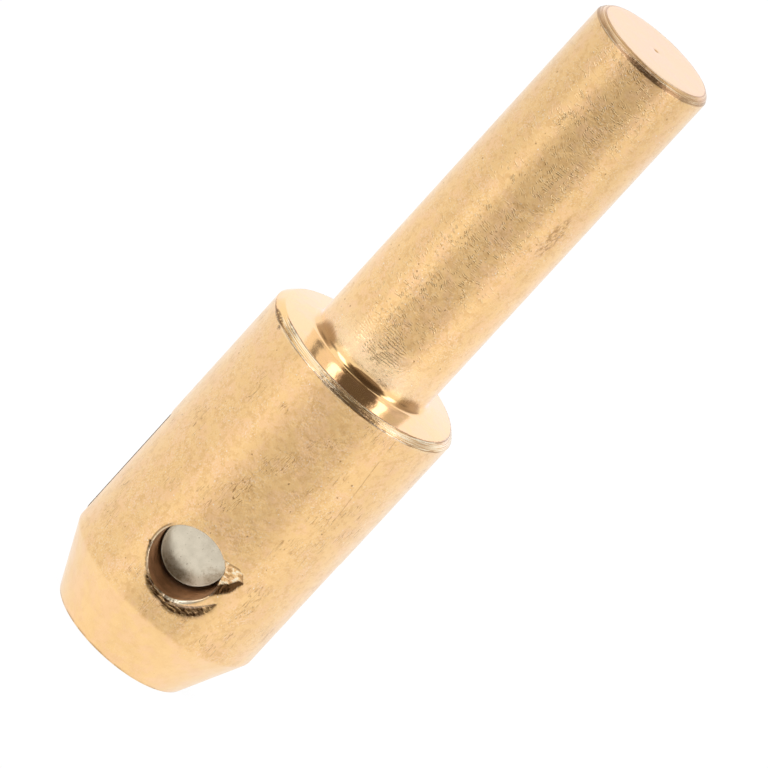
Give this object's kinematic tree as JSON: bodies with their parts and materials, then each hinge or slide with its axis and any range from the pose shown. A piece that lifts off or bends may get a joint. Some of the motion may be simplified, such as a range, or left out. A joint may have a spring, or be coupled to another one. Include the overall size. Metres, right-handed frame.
{
  "type": "plumb bob",
  "caption": "Turned brass plumb bob with a slotted, chamfered head, a plain stem and a captive steel cross pin for the line or tape end.",
  "frame": {"origin": "centre of the flat nose face, at the mouth of the slot; in use the bob hangs the other way up, nose and slot uppermost", "axes": "+Z along the bob's axis from the nose face to the stem's end, +Y along the cross pin, the slot opens towards +X, -X and -Z and is turned 2.2 degrees about Z from the XZ plane"},
  "size_m": [0.026, 0.026, 0.094],
  "materials": {
    "turned_brass": "satin lathe-turned, lightly pitted and scratched",
    "pin_steel": "satin, faced end"
  },
  "bodies": {
    "bob": {"bob_body": "turned_brass"},
    "pin": {"cross_pin": "pin_steel"}
  },
  "joints": [
    {"name": "pin_spin", "type": "hinge", "parent": "bob", "child": "pin", "pos_m": [-0.00012, 0, 0.01648], "axis": [0, 1, 0], "continuous": true}
  ]
}
